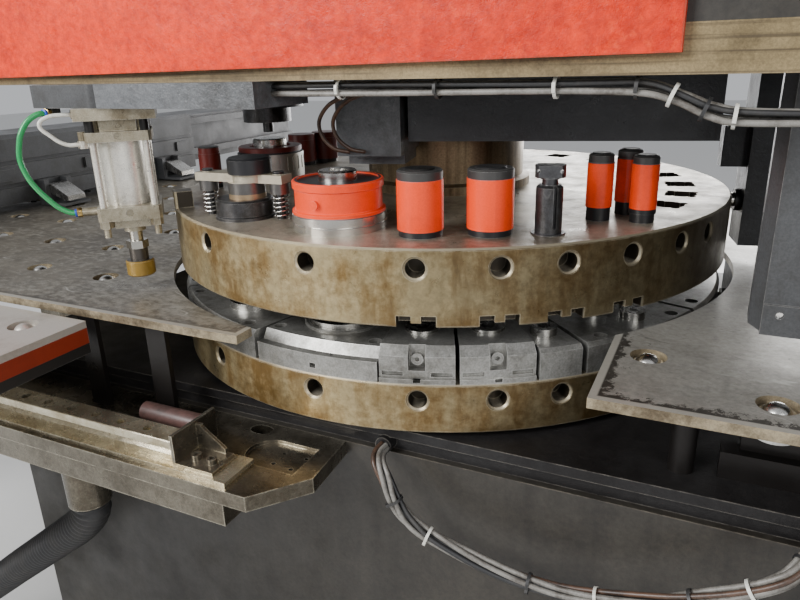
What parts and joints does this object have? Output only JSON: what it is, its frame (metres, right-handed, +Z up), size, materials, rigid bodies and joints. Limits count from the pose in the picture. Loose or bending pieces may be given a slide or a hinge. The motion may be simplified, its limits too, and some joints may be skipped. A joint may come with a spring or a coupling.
{
  "type": "cnc turret punch press",
  "caption": "C-frame turret punch press: stacked round turrets of punches and dies below a ram, with ball tables and a carriage that clamps and feeds the sheet.",
  "frame": {"origin": "on the floor below the turret axis, which is also the centre of the four anchor holes", "axes": "+Z up along the turret axis; +X along the C-frame from its open nose towards the column; +Y from the front side towards the back"},
  "size_m": [3.18, 2.5, 1.9],
  "materials": {
    "frame_paint": "satin",
    "black_paint": "satin",
    "orange_paint": "satin",
    "grey_paint": "satin",
    "turret_steel": "machined, oily",
    "table_steel": "worn plate",
    "bright_steel": "ground",
    "dark_steel": "black oxide",
    "holder_steel": "machined",
    "cast_iron": "as cast, oily",
    "tool_orange": "gloss",
    "aluminium": "anodised",
    "green_plastic": "gloss",
    "white_plastic": "gloss",
    "black_rubber": "matte",
    "grey_plastic": "matte"
  },
  "bodies": {
    "frame": {"side_plates": "frame_paint", "base_plate": "black_paint", "lower_deck": "black_paint", "upper_deck": "black_paint", "arm_skin": "frame_paint", "side_covers": "orange_paint", "turret_beam": "black_paint", "bearing_housings": "cast_iron", "spindle_bearings": "bright_steel", "turret_motor": "grey_paint", "drive_chains": "dark_steel", "ram_cylinder": "black_paint", "left_table": "table_steel", "right_table": "table_steel", "ball_transfers": "bright_steel", "hold_down_bracket": "grey_paint", "hold_down_cylinder": "aluminium", "index_units": "black_paint", "index_guard": "grey_paint", "slide_beds": "cast_iron", "linear_rails": "bright_steel", "rail_stop": "dark_steel", "air_tube_green": "green_plastic", "air_tube_white": "white_plastic", "wiring_harness": "black_rubber", "vacuum_hose": "black_rubber", "cable_loom": "grey_plastic"},
    "upper_turret": {"upper_turret": "turret_steel", "upper_spindle": "turret_steel", "b_tool_guides": "tool_orange", "a_tool_guides": "tool_orange", "t_tool_guide": "dark_steel", "d_tool_guide": "tool_orange", "form_tool_guide": "dark_steel", "form_springs": "bright_steel", "ram_tool_guide": "bright_steel"},
    "lower_turret": {"lower_turret": "turret_steel", "lower_spindle": "turret_steel", "die_holders": "holder_steel", "d_die_holder": "holder_steel", "b_die_holders": "holder_steel", "dies": "bright_steel"},
    "cross_slide": {"cross_slide": "grey_paint", "wing_tables": "table_steel"},
    "drive_shaft": {"drive_shaft": "bright_steel"},
    "ram": {"ram": "dark_steel"},
    "b1_punch": {"b1_punch": "dark_steel"},
    "b2_punch": {"b2_punch": "dark_steel"},
    "a1_punch": {"a1_punch": "dark_steel"},
    "a2_punch": {"a2_punch": "dark_steel"},
    "a3_punch": {"a3_punch": "dark_steel"},
    "t_punch": {"t_punch": "dark_steel"},
    "d_punch": {"d_punch": "bright_steel"},
    "form_punch": {"form_punch": "dark_steel"},
    "ram_tool_punch": {"ram_tool_punch": "bright_steel"},
    "hold_down_rod": {"hold_down_rod": "bright_steel"},
    "upper_index_pin": {"upper_index_pin": "bright_steel"},
    "lower_index_pin": {"lower_index_pin": "bright_steel"},
    "carriage": {"carriage": "grey_paint"},
    "clamp_jaws": {"clamp_jaws": "bright_steel"}
  },
  "joints": [
    {"name": "upper_turret_spin", "type": "hinge", "parent": "frame", "child": "upper_turret", "pos_m": [0, 0, 1], "axis": [0, 0, 1], "continuous": true},
    {"name": "lower_turret_spin", "type": "hinge", "parent": "frame", "child": "lower_turret", "pos_m": [0, 0, 0.84], "axis": [0, 0, 1], "continuous": true},
    {"name": "drive_shaft_spin", "type": "hinge", "parent": "frame", "child": "drive_shaft", "pos_m": [1.08, 0, 0.9], "axis": [0, 0, 1], "continuous": true},
    {"name": "ram_stroke", "type": "slide", "parent": "frame", "child": "ram", "axis": [0, 0, -1], "range_m": [0, 0.04]},
    {"name": "ram_tool_stroke", "type": "slide", "parent": "upper_turret", "child": "ram_tool_punch", "axis": [0, 0, -1], "range_m": [0, 0.03]},
    {"name": "hold_down_stroke", "type": "slide", "parent": "frame", "child": "hold_down_rod", "axis": [0, 0, -1], "range_m": [0, 0.023]},
    {"name": "upper_index_pin_stroke", "type": "slide", "parent": "frame", "child": "upper_index_pin", "axis": [-0.9781, -0.2079, 0], "range_m": [0, 0.02]},
    {"name": "lower_index_pin_stroke", "type": "slide", "parent": "frame", "child": "lower_index_pin", "axis": [-0.9781, -0.2079, 0], "range_m": [0, 0.02]},
    {"name": "cross_slide_travel", "type": "slide", "parent": "frame", "child": "cross_slide", "axis": [1, 0, 0], "range_m": [-0.45, 0.5]},
    {"name": "carriage_travel", "type": "slide", "parent": "cross_slide", "child": "carriage", "axis": [0, 1, 0], "range_m": [-0.6, 0.6]},
    {"name": "clamp_jaw_grip", "type": "hinge", "parent": "carriage", "child": "clamp_jaws", "pos_m": [-1.128, 0, 0.974], "axis": [0, 1, 0], "range_deg": [0, 4.5], "stiffness_Nm_per_rad": 20, "springref_deg": -17.19},
    {"name": "b1_punch_stroke", "type": "slide", "parent": "upper_turret", "child": "b1_punch", "axis": [0, 0, -1], "range_m": [0, 0.03], "stiffness_N_per_m": 4000, "springref_m": -0.02},
    {"name": "b2_punch_stroke", "type": "slide", "parent": "upper_turret", "child": "b2_punch", "axis": [0, 0, -1], "range_m": [0, 0.03], "stiffness_N_per_m": 4000, "springref_m": -0.02},
    {"name": "a1_punch_stroke", "type": "slide", "parent": "upper_turret", "child": "a1_punch", "axis": [0, 0, -1], "range_m": [0, 0.03], "stiffness_N_per_m": 3000, "springref_m": -0.02},
    {"name": "a2_punch_stroke", "type": "slide", "parent": "upper_turret", "child": "a2_punch", "axis": [0, 0, -1], "range_m": [0, 0.03], "stiffness_N_per_m": 3000, "springref_m": -0.02},
    {"name": "a3_punch_stroke", "type": "slide", "parent": "upper_turret", "child": "a3_punch", "axis": [0, 0, -1], "range_m": [0, 0.03], "stiffness_N_per_m": 3000, "springref_m": -0.02},
    {"name": "t_punch_stroke", "type": "slide", "parent": "upper_turret", "child": "t_punch", "axis": [0, 0, -1], "range_m": [0, 0.03], "stiffness_N_per_m": 4000, "springref_m": -0.02},
    {"name": "d_punch_stroke", "type": "slide", "parent": "upper_turret", "child": "d_punch", "axis": [0, 0, -1], "range_m": [0, 0.03], "stiffness_N_per_m": 8000, "springref_m": -0.03},
    {"name": "form_punch_stroke", "type": "slide", "parent": "upper_turret", "child": "form_punch", "axis": [0, 0, -1], "range_m": [0, 0.022], "stiffness_N_per_m": 5000, "springref_m": -0.03, "deforming": ["form_springs"]}
  ],
  "couplings": [
    {"joint": "lower_turret_spin", "follows": "upper_turret_spin", "ratio": 1},
    {"joint": "drive_shaft_spin", "follows": "upper_turret_spin", "ratio": 3},
    {"joint": "ram_tool_stroke", "follows": "ram_stroke", "ratio": 0.75},
    {"joint": "lower_index_pin_stroke", "follows": "upper_index_pin_stroke", "ratio": 1}
  ]
}
